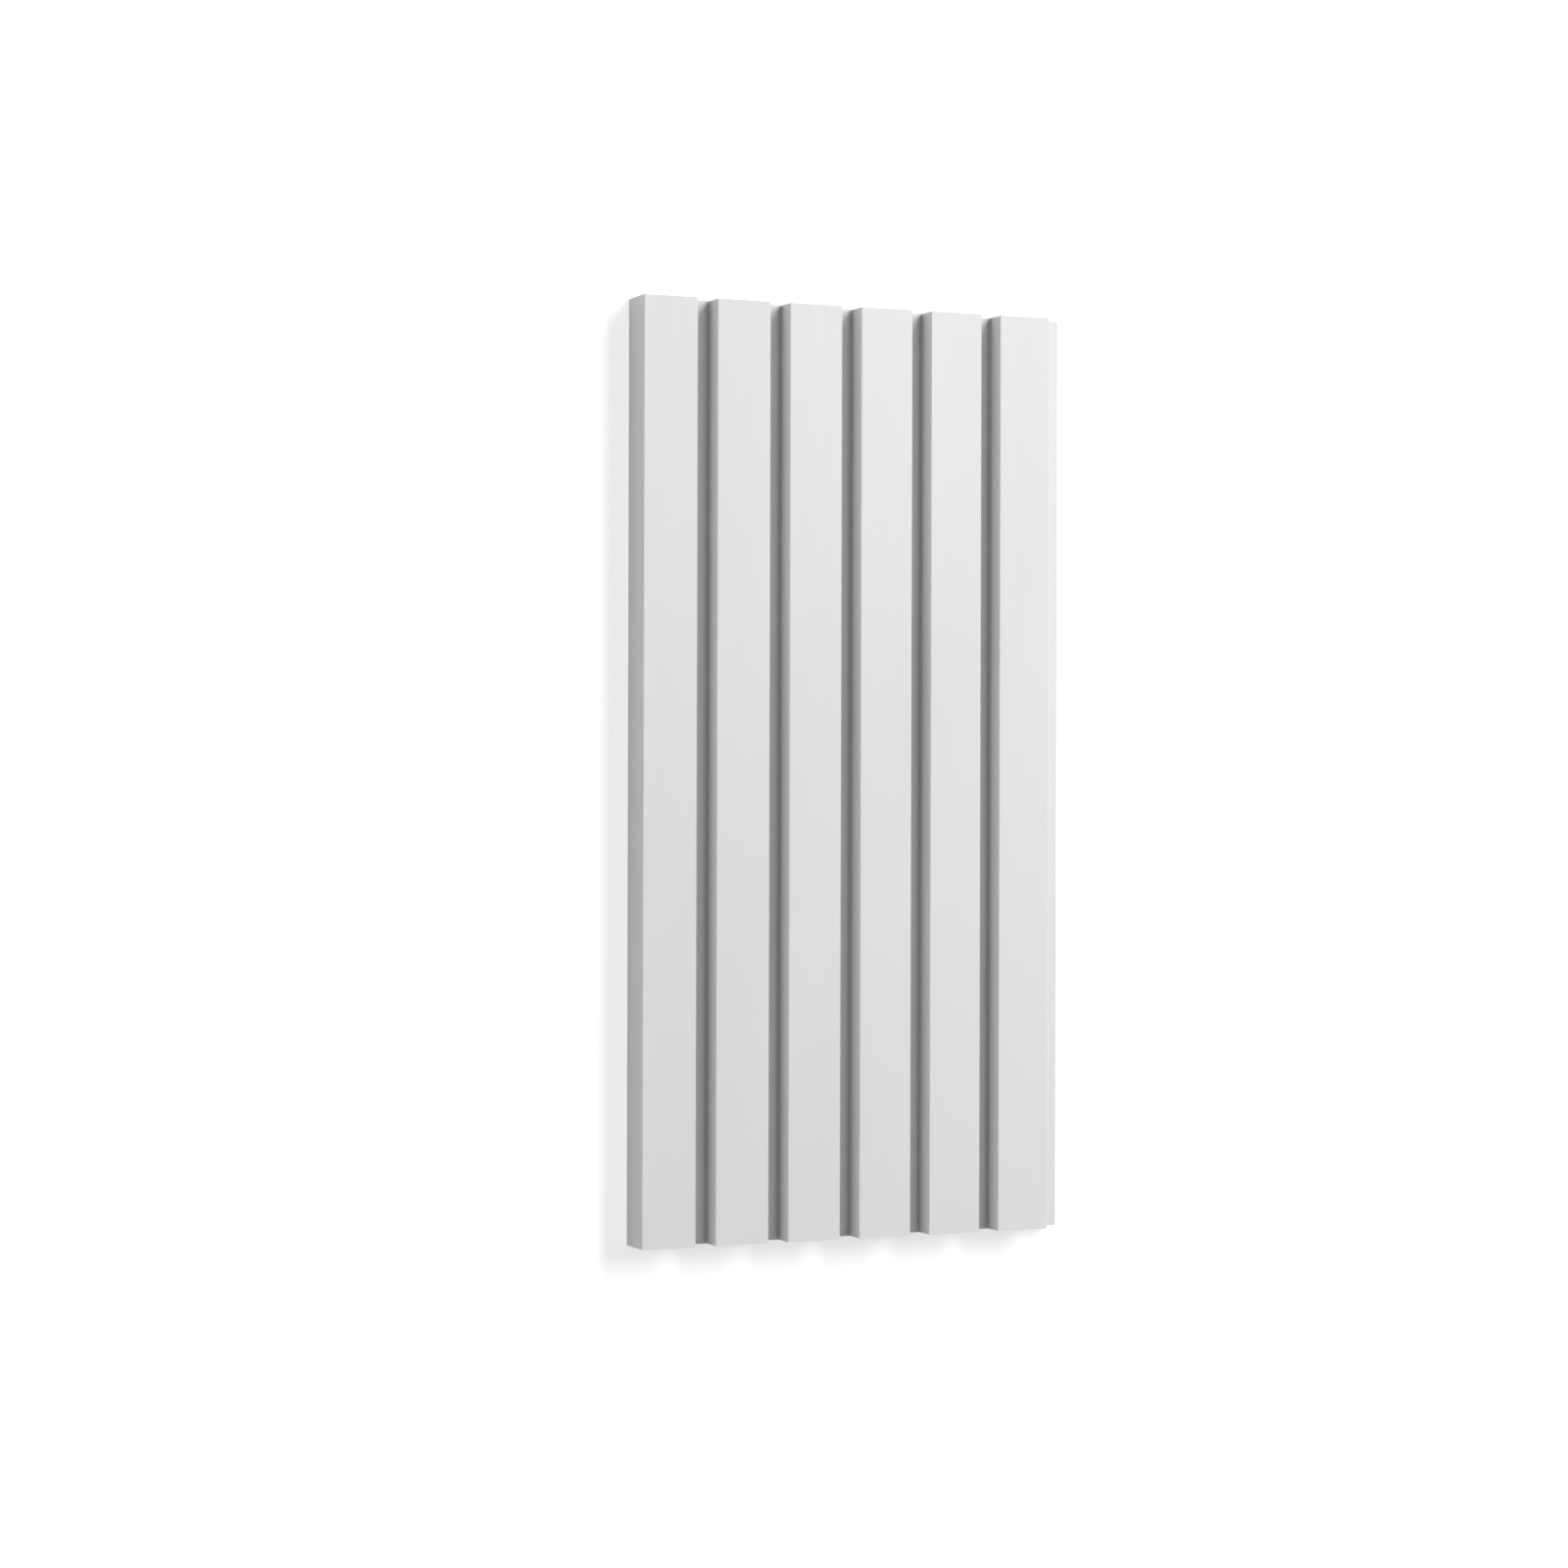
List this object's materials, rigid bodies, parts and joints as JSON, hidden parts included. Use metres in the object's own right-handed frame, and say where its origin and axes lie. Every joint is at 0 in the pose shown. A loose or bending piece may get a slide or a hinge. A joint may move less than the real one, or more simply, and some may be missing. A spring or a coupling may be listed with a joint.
{
  "type": "slatted wall panel",
  "caption": "Flat wall panel with parallel square-edged bars raised on a thin backing and a bare lip along one edge, glued side by side to cover a wall.",
  "frame": {"origin": "middle of the flat back, which is glued to the wall and lies on the floor when stored", "axes": "+X across the bars towards the lip, +Y along the bars, +Z out of the wall"},
  "size_m": [0.2502, 0.5, 0.022],
  "materials": {
    "primed_polymer": "matt white factory primer on rigid polymer"
  },
  "bodies": {
    "root": {"wall_panel": "primed_polymer"}
  },
  "joints": []
}
